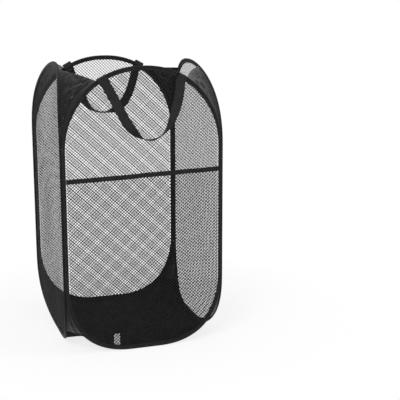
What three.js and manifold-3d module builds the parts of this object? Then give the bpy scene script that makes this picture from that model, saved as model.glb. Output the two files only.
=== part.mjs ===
// Pop up laundry hamper, standing open and empty.
// Four equal loops of spring wire, each sewn into the edge binding of a net side panel.
// Neighbouring panels are sewn together along their upright edges, so the four sides fold like
// a parallelogram. Solid cloth webs close the rounded corners above and below those seams.
// All lengths are in millimetres. +Z is up and the front panel faces -Y.
import * as THREE from 'three';
import Module from 'manifold-3d';

// Whole hamper
const PANEL_SPACING = 345; // middle plane of one side to that of the side opposite, both ways
const TOTAL_HEIGHT = 600;
const CORNER_OFFSET = 6.4; // wire of one loop to the middle plane of the panel next to it
const SEWN_GAP = 0.3; // between two pieces that touch when sewn

// Outline of each wire loop: a wide arch above, rounder corners below
const TOP_ARC_WIDTH_SHARE = 0.9874; // of the loop's half width
const TOP_ARC_RISE = 170;
const TOP_ARC_POWER = 2.1;
const BOTTOM_ARC_WIDTH_SHARE = 0.8429;
const BOTTOM_ARC_RISE = 145;
const BOTTOM_ARC_POWER = 2.35;
const ARC_STEPS = 8;
const TOP_LEAN = 18; // left and right loops only: their highest point in from their middle plane
const BOTTOM_LEAN = 15;
const LEAN_POWER = 3;

// Wire, its crimped ferrule and the folded binding tape round it
const WIRE_RADIUS = 1.1;
const WIRE_SIDES = 6;
const WIRE_END_GAP = 1;
const FERRULE_RADIUS = 1.9;
const FERRULE_BORE = 1.5;
const FERRULE_LENGTH = 24;
const FERRULE_SIDES = 8;
const SLEEVE_RADIUS = 3.2;
const SLEEVE_SIDES = 8;
const SLEEVE_BORE = 2.35;
const SLEEVE_BORE_STEPS = 7;
const TAPE_REACH = 8; // wire to the sewn edge of the binding
const TAPE_HALF = 1.7; // half of both tape legs with the net between them
const TAPE_SLOT_HALF = 1.1;

// Nets
const NET_THICKNESS = 0.6;
const NET_EDGE = 3; // wire to the net's own edge, inside the binding
const NET_DEPTH = 0.5; // front panel only: its middle plane to each of its two net layers
const NET_MARGIN = 10; // wire to the outermost gap's border
const NET_PITCH_ACROSS = 76;
const NET_PITCH_UP = 92;
const NET_STRAND = 3.5;
const NET_LEAST_SHARE = 0.12; // a cut gap smaller than this share of a whole one is left out
const POCKET_TOP = 370;
const POCKET_SHIFT_SHARE = 0.25; // of the net's pitch, between the pocket's gaps and the panel's
const POCKET_BAND_HEIGHT = 10;
const POCKET_BAND_THICKNESS = 0.8;

// Corner webs
const WEB_THICKNESS = 0.8;
const TOP_WEB_DROP = 163; // hamper's top down to the web's lower tip
const TOP_WEB_REACH_SHARE = 0.5536; // of half a side: its middle to the web's straight edge
const TOP_WEB_SAG = 5.5;
const TOP_WEB_FOLD = 2;
const TOP_WEB_COLUMNS = 6;
const BOTTOM_WEB_START = 135;
const BOTTOM_WEB_REACH_SHARE = 0.7884;
const BOTTOM_WEB_SAG = 2;
const BOTTOM_WEB_FOLD = 0;
const BOTTOM_WEB_COLUMNS = 3;
const WEB_FOLD_WAVES = 3;
const SEAM_END_GAP = 3; // end of the seam to the end of the web above or below it
const SEAM_SIDES = 6;

// Floor
const FLOOR_THICKNESS = 1;
const FLOOR_LINE_SHARES = [0, 0.26, 0.52, 0.667, BOTTOM_WEB_REACH_SHARE]; // of half a side
const FLOOR_RISE_POWER = 4;

// Handles
const STRAP_WIDTH = 20;
const STRAP_THICKNESS = 1.4;
const STRAP_STEPS = 26;
const STRAP_HALF_WIDTHS = [74, 65, 53.5, 38, 19]; // half of the loop's width on the way down
const STRAP_DROPS = [32, 56, 79, 100, 116.5]; // below the rim at the handle's end
const STRAP_LOWEST = 123;
const STRAP_TWIST_START_SHARE = 0.35;
const HANDLE_HALF_SPAN = 84.3; // panel's centre line to the middle of the sewn end
const TAB_GAP = 3.6; // panel's middle plane to the inner face of a folded end
const TAB_TOP_GAP = 4.6;
const TAB_BEND = 1.6;
const TAB_REACH = 12;
const HINGE_GAP = 0.2; // folded end or strap to the hinge line

// Care label, left bare
const LABEL_WIDTH = 13;
const LABEL_HEIGHT = 27;
const LABEL_THICKNESS = 0.5;
const LABEL_CENTRE = -63.5;
const LABEL_RISE = 3; // wire below it up to the label, clear of the round sleeve
const LABEL_GAP = 0.4;

const BLACK_NET = 0x2a2a2b;
const BLACK_TAPE = 0x202021;
const BLACK_CLOTH = 0x232324;
const BLACK_WEBBING = 0x1d1d1e;
const STEEL = 0x8d8f92;
const PALE_LABEL = 0xd8d8d6;

const HALF = PANEL_SPACING / 2;
const SLEEVE_FLAT = SLEEVE_RADIUS * Math.cos(Math.PI / SLEEVE_SIDES);
const LOOP_HALF = HALF - CORNER_OFFSET;
const TOP_ARC_WIDTH = TOP_ARC_WIDTH_SHARE * LOOP_HALF;
const BOTTOM_ARC_WIDTH = BOTTOM_ARC_WIDTH_SHARE * LOOP_HALF;
const TOP_WEB_START = TOTAL_HEIGHT - TOP_WEB_DROP;
const TOP_WEB_REACH = TOP_WEB_REACH_SHARE * HALF;
const BOTTOM_WEB_REACH = BOTTOM_WEB_REACH_SHARE * HALF;
const LOOP_LOW = SLEEVE_FLAT;
const LOOP_HIGH = TOTAL_HEIGHT - SLEEVE_FLAT;
const CORNERS = ['front_left', 'front_right', 'back_right', 'back_left'];
const SIDES = ['front', 'right', 'back', 'left'];

const group = new THREE.Group();
const wasm = await Module();
wasm.setup();

// Turns a point about the hamper's middle line by so many right angles
function turned([x, y, z], quarter) {
  if (quarter === 1) return [-y, x, z];
  if (quarter === 2) return [-x, -y, z];
  if (quarter === 3) return [y, -x, z];
  return [x, y, z];
}

function volume(points, faces) {
  const sum = new THREE.Vector3();
  let total = 0;
  for (const [a, b, c] of faces) {
    const [p, q, r] = [a, b, c].map((i) => new THREE.Vector3(...points[i]));
    total += p.dot(sum.copy(q).cross(r));
  }
  return total;
}

// Adds one closed solid, with its faces turned outwards
function addSolid(name, points, faces, colour, roughness = 0.9) {
  const outward = volume(points, faces) > 0 ? faces : faces.map(([a, b, c]) => [a, c, b]);
  const geometry = new THREE.BufferGeometry();
  geometry.setAttribute('position', new THREE.Float32BufferAttribute(points.flat(), 3));
  geometry.setIndex(outward.flat());
  const material = new THREE.MeshStandardMaterial({ color: colour, roughness });
  const mesh = new THREE.Mesh(geometry, material);
  mesh.name = name;
  group.add(mesh);
}

// Quarter of an oval from its side (0) to its top (1), with stations at equal turns
function ovalQuarter(width, rise, power) {
  const points = [];
  for (let k = 0; k <= ARC_STEPS; k += 1) {
    const turn = (Math.PI / 2) * (k / ARC_STEPS);
    if (k === 0) points.push([width, 0]);
    else if (k === ARC_STEPS) points.push([0, rise]);
    else {
      const slope = (Math.tan(turn) * (rise / width) ** power) ** (1 / (power - 1));
      const across = 1 / ((1 / width) ** power + (slope / rise) ** power) ** (1 / power);
      points.push([across, slope * across]);
    }
  }
  return points;
}

// Right half of the wire's centre line, from the bottom to the top
function rightHalf() {
  const low = ovalQuarter(BOTTOM_ARC_WIDTH, BOTTOM_ARC_RISE, BOTTOM_ARC_POWER);
  const high = ovalQuarter(TOP_ARC_WIDTH, TOP_ARC_RISE, TOP_ARC_POWER);
  const lowPoints = low.map(([u, v]) => [
    LOOP_HALF - BOTTOM_ARC_WIDTH + u, LOOP_LOW + BOTTOM_ARC_RISE - v]);
  const highPoints = high.map(([u, v]) => [
    LOOP_HALF - TOP_ARC_WIDTH + u, LOOP_HIGH - TOP_ARC_RISE + v]);
  return [...lowPoints.reverse(), ...highPoints];
}
const HALF_LINE = rightHalf();
const LOOP_LINE = [...HALF_LINE, ...HALF_LINE.map(([u, z]) => [-u, z]).reverse()];

// The loop's outline moved towards its inside, each edge kept parallel
function inset(line, depth) {
  const count = line.length;
  return line.map((p, i) => {
    const before = line[(i + count - 1) % count];
    const after = line[(i + 1) % count];
    const normal = (a, b) => {
      const length = Math.hypot(b[0] - a[0], b[1] - a[1]);
      return [-(b[1] - a[1]) / length, (b[0] - a[0]) / length];
    };
    const [n, m] = [normal(before, p), normal(p, after)];
    const share = depth / (1 + n[0] * m[0] + n[1] * m[1]);
    return [p[0] + share * (n[0] + m[0]), p[1] + share * (n[1] + m[1])];
  });
}

// How far a side panel leans in at a height; the front and back panels stay flat
function lean(up, quarter) {
  if (quarter % 2 === 0) return 0;
  const above = Math.max(0, up - LOOP_HIGH + TOP_ARC_RISE) / TOP_ARC_RISE;
  const below = Math.max(0, LOOP_LOW + BOTTOM_ARC_RISE - up) / BOTTOM_ARC_RISE;
  return TOP_LEAN * above ** LEAN_POWER + BOTTOM_LEAN * below ** LEAN_POWER;
}

// Point of a panel: along it, up, and in from its own surface
function panelPoint(along, up, inwards, quarter) {
  return turned([along, inwards + lean(up, quarter) - HALF, up], quarter);
}

// Skins rings of equal point counts; closed joins the last ring to the first, else caps are added
function skin(rings, closed) {
  const size = rings[0].length;
  const faces = [];
  const last = closed ? rings.length : rings.length - 1;
  for (let i = 0; i < last; i += 1) {
    const [a, b] = [i * size, ((i + 1) % rings.length) * size];
    for (let j = 0; j < size; j += 1) {
      const k = (j + 1) % size;
      faces.push([a + j, b + j, b + k], [a + j, b + k, a + k]);
    }
  }
  if (!closed) {
    const end = (rings.length - 1) * size;
    for (let j = 1; j < size - 1; j += 1) {
      faces.push([0, j, j + 1], [end, end + j + 1, end + j]);
    }
  }
  return [rings.flat(), faces];
}

function regular(radius, sides, start = 0.5) {
  return Array.from({ length: sides }, (_, i) => {
    const turn = (2 * Math.PI * (i + start)) / sides;
    return [radius * Math.cos(turn), radius * Math.sin(turn)];
  });
}

// Section of the binding: first value towards the loop's inside, second through the panel
function tapeSection() {
  const outer = regular(SLEEVE_RADIUS, SLEEVE_SIDES);
  const [flat, side] = [outer[0], outer[1]];
  const join = flat[0] - (TAPE_HALF - flat[1]);
  const upper = [[flat[0] * -1, flat[1]], [side[0] * -1, side[1]], side, [join, TAPE_HALF],
    [TAPE_REACH, TAPE_HALF], [TAPE_REACH, TAPE_SLOT_HALF]];
  const mouth = Math.asin(TAPE_SLOT_HALF / SLEEVE_BORE);
  const bore = Array.from({ length: SLEEVE_BORE_STEPS + 1 }, (_, i) => {
    const turn = mouth + ((2 * Math.PI - 2 * mouth) * i) / SLEEVE_BORE_STEPS;
    return [SLEEVE_BORE * Math.cos(turn), SLEEVE_BORE * Math.sin(turn)];
  });
  const lower = upper.map(([q, d]) => [q, -d]).reverse();
  return [...upper, ...bore, ...lower];
}

function addBinding(side, quarter) {
  const section = tapeSection();
  const lines = section.map(([q]) => inset(LOOP_LINE, q));
  const rings = LOOP_LINE.map((_, i) => section.map(([, d], j) => (
    panelPoint(...lines[j][i], d, quarter))));
  addSolid(`${side}_binding`, ...skin(rings, true), BLACK_TAPE);
}

// One turn of wire, whose two ends face each other inside the ferrule
function addWire(side, quarter) {
  const section = regular(WIRE_RADIUS, WIRE_SIDES);
  const end = [WIRE_END_GAP / 2, LOOP_LOW];
  const line = [end, ...LOOP_LINE, [-end[0], end[1]]];
  const lines = section.map(([q]) => {
    const moved = inset(LOOP_LINE, q);
    return [[end[0], end[1] + q], ...moved, [-end[0], end[1] + q]];
  });
  const rings = line.map((_, i) => section.map(([, d], j) => (
    panelPoint(...lines[j][i], d, quarter))));
  addSolid(`${side}_wire`, ...skin(rings, false), STEEL, 0.4);
}

function addFerrule(side, quarter) {
  const [outer, bore] = [regular(FERRULE_RADIUS, FERRULE_SIDES), regular(FERRULE_BORE, FERRULE_SIDES)];
  const loop = (end, section) => section.map(([q, d]) => (
    panelPoint((end * FERRULE_LENGTH) / 2, LOOP_LOW + q, d, quarter)));
  const rings = [loop(-1, outer), loop(1, outer), loop(1, bore), loop(-1, bore)];
  addSolid(`${side}_ferrule`, ...skin(rings, true), STEEL, 0.5);
}

// Keeps the part of a convex outline that lies on the inner side of every edge of another
function clipped(shape, border) {
  let kept = shape;
  border.forEach((a, i) => {
    const b = border[(i + 1) % border.length];
    const side = (p) => (b[0] - a[0]) * (p[1] - a[1]) - (b[1] - a[1]) * (p[0] - a[0]);
    const next = [];
    kept.forEach((p, j) => {
      const q = kept[(j + 1) % kept.length];
      const [sp, sq] = [side(p), side(q)];
      if (sp >= 0) next.push(p);
      if ((sp > 0 && sq < 0) || (sp < 0 && sq > 0)) {
        const share = sp / (sp - sq);
        next.push([p[0] + share * (q[0] - p[0]), p[1] + share * (q[1] - p[1])]);
      }
    });
    kept = next;
  });
  return kept.filter((p, i) => {
    const q = kept[(i + 1) % kept.length];
    return Math.hypot(p[0] - q[0], p[1] - q[1]) > SEWN_GAP;
  });
}

function outlineArea(shape) {
  return Math.abs(THREE.ShapeUtils.area(shape.map((p) => new THREE.Vector2(...p))));
}

// Staggered rhombic gaps of a net in rows from the top one down, cut at the border
function netGaps(border, top, shift) {
  const reach = (NET_PITCH_ACROSS * NET_PITCH_UP) / 2 / Math.hypot(NET_PITCH_ACROSS, NET_PITCH_UP);
  const share = 1 - NET_STRAND / 2 / reach;
  const [across, up] = [(NET_PITCH_ACROSS / 2) * share, (NET_PITCH_UP / 2) * share];
  const gaps = [];
  const rows = Math.ceil((2 * TOTAL_HEIGHT) / NET_PITCH_UP);
  const columns = Math.ceil(HALF / NET_PITCH_ACROSS);
  for (let row = 0; row <= rows; row += 1) {
    for (let column = -columns; column <= columns; column += 1) {
      const u = (column + (row % 2) / 2 + shift) * NET_PITCH_ACROSS;
      const z = top - (row / 2) * NET_PITCH_UP;
      const whole = [[u + across, z], [u, z + up], [u - across, z], [u, z - up]];
      const gap = clipped(whole, border);
      if (gap.length > 2 && outlineArea(gap) > NET_LEAST_SHARE * outlineArea(whole)) gaps.push(gap);
    }
  }
  return gaps;
}

// Straight prism over a convex outline, across a panel that is laid out flat
function prism(outline, low, high) {
  return skin([low, high].map((depth) => outline.map(([u, z]) => [u, depth, z])), false);
}

// Several closed meshes as one solid for a boolean
function toManifold(meshes) {
  const points = [];
  const faces = [];
  for (const [own, ownFaces] of meshes) {
    const outward = volume(own, ownFaces) > 0 ? ownFaces : ownFaces.map(([a, b, c]) => [a, c, b]);
    faces.push(...outward.map((face) => face.map((i) => i + points.length)));
    points.push(...own);
  }
  return new wasm.Manifold(new wasm.Mesh({
    numProp: 3, vertProperties: new Float32Array(points.flat()), triVerts: new Uint32Array(faces.flat()) }));
}

// Plate with gaps, cut while flat and then set on its panel
function addPlate(name, outline, gaps, depth, thickness, quarter, colour) {
  const [low, high] = [depth - thickness / 2, depth + thickness / 2];
  let [points, faces] = prism(outline, low, high);
  if (gaps.length > 0) {
    const cuts = gaps.map((gap) => prism(gap, low - thickness, high + thickness));
    const mesh = toManifold([[points, faces]]).subtract(toManifold(cuts)).getMesh();
    points = Array.from({ length: mesh.numVert }, (_, i) => (
      Array.from(mesh.vertProperties.subarray(i * mesh.numProp, i * mesh.numProp + 3))));
    faces = Array.from({ length: mesh.numTri }, (_, i) => (
      Array.from(mesh.triVerts.subarray(i * 3, i * 3 + 3))));
  }
  addSolid(name, points.map(([u, d, z]) => panelPoint(u, z, d, quarter)), faces, colour);
}

function addNet(side, quarter) {
  const gaps = netGaps(inset(LOOP_LINE, NET_MARGIN), TOTAL_HEIGHT, 0);
  const depth = side === 'front' ? NET_DEPTH : 0;
  addPlate(`${side}_net`, inset(LOOP_LINE, NET_EDGE), gaps, depth, NET_THICKNESS, quarter, BLACK_NET);
}

// Second layer over the lower part of the front panel, open above behind its hem band
function addPocket() {
  const cut = (line, top) => clipped(line, [
    [-PANEL_SPACING, -TOTAL_HEIGHT], [PANEL_SPACING, -TOTAL_HEIGHT],
    [PANEL_SPACING, top], [-PANEL_SPACING, top]]);
  const outline = cut(inset(LOOP_LINE, NET_EDGE), POCKET_TOP - SEWN_GAP);
  const border = cut(inset(LOOP_LINE, NET_MARGIN), POCKET_TOP - NET_STRAND);
  const gaps = netGaps(border, POCKET_TOP - NET_STRAND, POCKET_SHIFT_SHARE);
  addPlate('pocket_net', outline, gaps, -NET_DEPTH, NET_THICKNESS, 0, BLACK_NET);
  const reach = LOOP_HALF - NET_EDGE;
  const top = POCKET_TOP + POCKET_BAND_HEIGHT;
  const band = [[-reach, POCKET_TOP], [reach, POCKET_TOP], [reach, top], [-reach, top]];
  addPlate('pocket_hem_band', band, [], -NET_DEPTH, POCKET_BAND_THICKNESS, 0, BLACK_TAPE);
}

function addLabel() {
  const [left, right] = [LABEL_CENTRE - LABEL_WIDTH / 2, LABEL_CENTRE + LABEL_WIDTH / 2];
  const bottom = lowerLine(Math.abs(LABEL_CENTRE) + LABEL_WIDTH / 2) + LABEL_RISE;
  const top = bottom + LABEL_HEIGHT;
  const shape = [[left, bottom], [right, bottom], [right, top], [left, top]];
  const depth = TAPE_HALF + LABEL_GAP + LABEL_THICKNESS / 2;
  addPlate('care_label', shape, [], depth, LABEL_THICKNESS, 0, PALE_LABEL);
}

// Stitching between two neighbouring loops, on the line that the panels fold about
function addSeam(corner, quarter) {
  const radius = CORNER_OFFSET / Math.SQRT2 - SLEEVE_RADIUS - SEWN_GAP;
  const middle = CORNER_OFFSET / 2 - HALF;
  const rings = [BOTTOM_WEB_START + SEAM_END_GAP, TOP_WEB_START - SEAM_END_GAP].map((z) => (
    regular(radius, SEAM_SIDES).map(([a, b]) => turned([middle + a, middle + b, z], quarter))));
  addSolid(`seam_${corner}`, ...skin(rings, false), BLACK_TAPE);
}

// Stations of the loop between a start height and a reach from the panel's centre line
function webStations(startHeight, reach) {
  const upwards = startHeight > TOTAL_HEIGHT / 2;
  const line = upwards ? HALF_LINE : [...HALF_LINE].reverse();
  const stations = [];
  for (let i = 0; i < line.length - 1; i += 1) {
    const [p, q] = [line[i], line[i + 1]];
    const slope = [q[0] - p[0], q[1] - p[1]];
    const at = (share) => [p[0] + share * slope[0], p[1] + share * slope[1]];
    const startShare = (startHeight - p[1]) / slope[1];
    const endShare = (reach - p[0]) / slope[0];
    const passed = stations.length > 0;
    if (passed) stations.push(p);
    else if (startShare >= 0 && startShare < 1) stations.push(at(startShare));
    if (stations.length > 0 && endShare > 0 && endShare <= 1) {
      stations.push(at(endShare));
      return stations;
    }
  }
  return stations;
}

// How far along its chord a web starts, so that it clears the round sleeves at both ends
function webGap(first, second, i) {
  const chord = second[i].clone().sub(first[i]).normalize();
  const leans = [first, second].flatMap((line) => [[i - 1, i], [i, i + 1]]
    .filter(([a, b]) => a >= 0 && b < line.length)
    .map(([a, b]) => line[b].clone().sub(line[a]).normalize().dot(chord)));
  const steepest = Math.max(...leans.map(Math.abs));
  return (SLEEVE_RADIUS + SEWN_GAP) / Math.sqrt(1 - steepest ** 2);
}

// Sheet of even thickness over a grid of points
function thickened(rows, thickness) {
  const columns = rows[0].length;
  const at = (i, j) => new THREE.Vector3(...rows[i][j]);
  const normals = rows.map((row, i) => row.map((_, j) => {
    const along = at(Math.min(i + 1, rows.length - 1), j).sub(at(Math.max(i - 1, 0), j));
    const across = at(i, Math.min(j + 1, columns - 1)).sub(at(i, Math.max(j - 1, 0)));
    return along.cross(across).normalize().multiplyScalar(thickness / 2);
  }));
  const layer = (sign) => rows.flatMap((row, i) => row.map((_, j) => (
    at(i, j).addScaledVector(normals[i][j], sign).toArray())));
  const points = [...layer(-1), ...layer(1)];
  const count = rows.length * columns;
  const faces = [];
  for (let i = 0; i < rows.length - 1; i += 1) {
    for (let j = 0; j < columns - 1; j += 1) {
      const [a, b, c, d] = [i * columns + j, i * columns + j + 1,
        (i + 1) * columns + j + 1, (i + 1) * columns + j];
      faces.push([a, c, b], [a, d, c], [a + count, b + count, c + count],
        [a + count, c + count, d + count]);
    }
  }
  const rim = [];
  for (let j = 0; j < columns - 1; j += 1) rim.push(j);
  for (let i = 0; i < rows.length - 1; i += 1) rim.push(i * columns + columns - 1);
  for (let j = columns - 1; j > 0; j -= 1) rim.push((rows.length - 1) * columns + j);
  for (let i = rows.length - 1; i > 0; i -= 1) rim.push(i * columns);
  rim.forEach((a, i) => {
    const b = rim[(i + 1) % rim.length];
    faces.push([a, b, b + count], [a, b + count, a + count]);
  });
  return [points, faces];
}

// Cloth web between two neighbouring loops, sagging inwards more the wider it gets
function addWeb(name, quarter, startHeight, reach, sag, fold, columns) {
  const stations = webStations(startHeight, reach);
  const place = (...values) => new THREE.Vector3(...panelPoint(...values));
  const first = stations.map(([u, z]) => place(-u, z, 0, quarter));
  const second = stations.map(([u, z]) => place(u, z, 0, (quarter + 3) % 4));
  const widths = first.map((p, i) => p.distanceTo(second[i]));
  const widest = widths[widths.length - 1];
  const rows = stations.map((_, i) => {
    const gap = webGap(first, second, i);
    const chord = second[i].clone().sub(first[i]).normalize();
    const inwards = new THREE.Vector3(chord.y, -chord.x, 0).normalize();
    return Array.from({ length: columns + 1 }, (__, j) => {
      const share = j / columns;
      const bow = (sag * Math.sin(Math.PI * share)
        + fold * Math.sin(WEB_FOLD_WAVES * Math.PI * share) * share) * (widths[i] / widest) ** 2;
      return first[i].clone().addScaledVector(chord, gap + share * (widths[i] - 2 * gap))
        .addScaledVector(inwards, bow).toArray();
    });
  });
  addSolid(name, ...thickened(rows, WEB_THICKNESS), BLACK_CLOTH, 0.55);
}

// Height of the lower wire above the ground at a distance from the panel's centre line
function lowerLine(distance) {
  for (let i = 0; i < HALF_LINE.length - 1; i += 1) {
    const [p, q] = [HALF_LINE[i], HALF_LINE[i + 1]];
    if (distance >= p[0] && distance <= q[0]) {
      return p[1] + ((distance - p[0]) / (q[0] - p[0])) * (q[1] - p[1]);
    }
  }
  return LOOP_LOW;
}

// Floor cloth, sewn to the four lower wires and rising with them to the corner webs
function addFloor() {
  const edge = HALF - SLEEVE_RADIUS - SEWN_GAP;
  const positive = [...FLOOR_LINE_SHARES.map((share) => share * HALF), edge];
  const lines = [...positive.slice(1).map((u) => -u).reverse(), ...positive];
  const lift = (u) => (Math.abs(u) === edge ? 0 : lowerLine(Math.abs(u)) - LOOP_LOW);
  const weight = (u) => (Math.abs(u) / edge) ** FLOOR_RISE_POWER;
  const height = (x, y) => LOOP_LOW + lift(x) * weight(y) + lift(y) * weight(x);
  const narrowing = (y) => (Math.abs(y) === edge ? 0 : lean(lowerLine(Math.abs(y)), 1));
  const size = lines.length;
  const last = size - 1;
  const isTip = (i, j) => (i === 0 || i === last) && (j === 0 || j === last);
  const index = new Map();
  const flat = [];
  lines.forEach((x, i) => lines.forEach((y, j) => {
    if (isTip(i, j)) return;
    index.set(`${i},${j}`, flat.length);
    flat.push([x - Math.sign(x) * weight(x) * narrowing(y), y, height(x, y)]);
  }));
  const count = flat.length;
  const raised = (shift) => flat.map(([x, y, z]) => [x, y, z + shift]);
  const points = [...raised(-FLOOR_THICKNESS / 2), ...raised(FLOOR_THICKNESS / 2)];
  const faces = [];
  const edges = new Map();
  const cover = (corners) => {
    const ids = corners.filter((key) => index.has(key)).map((key) => index.get(key));
    for (let k = 1; k < ids.length - 1; k += 1) {
      faces.push([ids[0], ids[k + 1], ids[k]], [ids[0] + count, ids[k] + count, ids[k + 1] + count]);
    }
    ids.forEach((a, k) => edges.set(`${a},${ids[(k + 1) % ids.length]}`, [a, ids[(k + 1) % ids.length]]));
  };
  for (let i = 0; i < last; i += 1) {
    for (let j = 0; j < last; j += 1) {
      const corners = [`${i},${j}`, `${i + 1},${j}`, `${i + 1},${j + 1}`, `${i},${j + 1}`];
      cover((i + j) % 2 ? [...corners.slice(1), corners[0]] : corners);
    }
  }
  for (const [a, b] of edges.values()) {
    if (!edges.has(`${b},${a}`)) faces.push([a, b, b + count], [a, b + count, a + count]);
  }
  addSolid('floor_panel', points, faces, BLACK_CLOTH, 0.7);
}

// Place on the rim where a handle's end is sewn on, with the rim's direction there
function handleRoot() {
  const i = HALF_LINE.findIndex(([u, z], k) => (
    z > TOTAL_HEIGHT / 2 && u >= HANDLE_HALF_SPAN && HALF_LINE[k + 1][0] < HANDLE_HALF_SPAN));
  const [p, q] = [HALF_LINE[i], HALF_LINE[i + 1]];
  const share = (HANDLE_HALF_SPAN - p[0]) / (q[0] - p[0]);
  const length = Math.hypot(q[0] - p[0], q[1] - p[1]);
  const along = [(q[0] - p[0]) / length, (q[1] - p[1]) / length];
  return { rim: [HANDLE_HALF_SPAN, p[1] + share * (q[1] - p[1])], along, inward: [-along[1], along[0]] };
}
const ROOT = handleRoot();
const HINGE_HEIGHT = ROOT.rim[1] + TAB_REACH * ROOT.inward[1];

// Webbing end folded over the binding and sewn through it; its outer leg ends at the hinge line
function addTab(name, mirror, quarter) {
  const outerEnd = (t) => (HINGE_HEIGHT + HINGE_GAP - ROOT.rim[1] - t * ROOT.along[1]) / ROOT.inward[1];
  const [near, far] = [TAB_GAP, TAB_GAP + STRAP_THICKNESS];
  const [low, high] = [-TAB_TOP_GAP, -TAB_TOP_GAP - STRAP_THICKNESS];
  const rings = [-STRAP_WIDTH / 2, STRAP_WIDTH / 2].map((t) => {
    const section = [[outerEnd(t), -far], [high + TAB_BEND, -far], [high, TAB_BEND - far],
      [high, far - TAB_BEND], [high + TAB_BEND, far], [TAB_REACH, far], [TAB_REACH, near],
      [low + TAB_BEND, near], [low, near - TAB_BEND], [low, TAB_BEND - near],
      [low + TAB_BEND, -near], [outerEnd(t), -near]];
    return section.map(([q, d]) => panelPoint(
      mirror * (ROOT.rim[0] + t * ROOT.along[0] + q * ROOT.inward[0]),
      ROOT.rim[1] + t * ROOT.along[1] + q * ROOT.inward[1], d, quarter));
  });
  const [points, faces] = skin(rings, true);
  const walls = faces.slice(0, faces.length / 2);
  const count = rings[0].length;
  const caps = [];
  for (let k = 0; k < count / 2 - 1; k += 1) {
    const [a, b, c, d] = [k, k + 1, count - 2 - k, count - 1 - k];
    caps.push([a, b, c], [a, c, d], [a + count, c + count, b + count], [a + count, d + count, c + count]);
  }
  addSolid(name, points, [...walls, ...caps], BLACK_WEBBING);
}

// Webbing loop hanging outside the panel, flat at its ends and on edge at its lowest point
function addStrap(name, quarter) {
  const half = [[ROOT.rim[0] + TAB_REACH * ROOT.inward[0], HINGE_HEIGHT],
    ...STRAP_DROPS.map((drop, i) => [STRAP_HALF_WIDTHS[i], ROOT.rim[1] - drop])];
  const whole = [...half.map(([u, z]) => [-u, z]), [0, ROOT.rim[1] - STRAP_LOWEST],
    ...[...half].reverse()];
  const curve = new THREE.CatmullRomCurve3(whole.map(([u, z]) => new THREE.Vector3(u, 0, z)));
  const outwards = new THREE.Vector3(0, -1, 0);
  const rings = [];
  for (let i = 0; i <= STRAP_STEPS; i += 1) {
    const share = i / STRAP_STEPS;
    const middle = curve.getPointAt(share);
    const run = curve.getTangentAt(share);
    const inner = new THREE.Vector3(-run.z, 0, run.x);
    const fromEnd = 1 - Math.abs(2 * share - 1);
    const eased = THREE.MathUtils.smoothstep(fromEnd, STRAP_TWIST_START_SHARE, 1);
    const twist = (Math.PI / 2) * eased;
    const across = inner.clone().multiplyScalar(Math.cos(twist)).addScaledVector(outwards, Math.sin(twist));
    const through = across.clone().cross(run).normalize();
    middle.y = -HALF - TAB_GAP - STRAP_THICKNESS / 2 - (STRAP_WIDTH / 2) * Math.sin(twist);
    const atEnd = i === 0 || i === STRAP_STEPS;
    if (atEnd) across.set(Math.sign(inner.x) / Math.abs(inner.x), 0, 0);
    if (atEnd) middle.z -= HINGE_GAP;
    rings.push([[1, 1], [-1, 1], [-1, -1], [1, -1]].map(([a, b]) => turned(middle.clone()
      .addScaledVector(across, (a * STRAP_WIDTH) / 2)
      .addScaledVector(through, (b * STRAP_THICKNESS) / 2).toArray(), quarter)));
  }
  addSolid(name, ...skin(rings, false), BLACK_WEBBING);
}

SIDES.forEach((side, quarter) => {
  addWire(side, quarter);
  addFerrule(side, quarter);
  addNet(side, quarter);
  addBinding(side, quarter);
});
CORNERS.forEach((corner, quarter) => {
  addSeam(corner, quarter);
  addWeb(`top_web_${corner}`, quarter, TOP_WEB_START, TOP_WEB_REACH, TOP_WEB_SAG, TOP_WEB_FOLD,
    TOP_WEB_COLUMNS);
  addWeb(`bottom_web_${corner}`, quarter, BOTTOM_WEB_START, BOTTOM_WEB_REACH, BOTTOM_WEB_SAG,
    BOTTOM_WEB_FOLD, BOTTOM_WEB_COLUMNS);
});
addFloor();
addPocket();
addLabel();
['front', 'back'].forEach((side) => {
  const quarter = SIDES.indexOf(side);
  addStrap(`${side}_handle_strap`, quarter);
  addTab(`${side}_handle_tab_left`, side === 'front' ? -1 : 1, quarter);
  addTab(`${side}_handle_tab_right`, side === 'front' ? 1 : -1, quarter);
});

export default group;
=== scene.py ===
# Pop up laundry hamper, standing open and empty: four sprung wire loops in sewn bindings, each
# round a net panel, with corner webs and a floor of solid cloth, two webbing handles and a pocket.
# Shapes are drawn in millimetres and made in metres.
import math
import random

import bmesh
import bpy
import numpy as np
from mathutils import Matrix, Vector, noise


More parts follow.
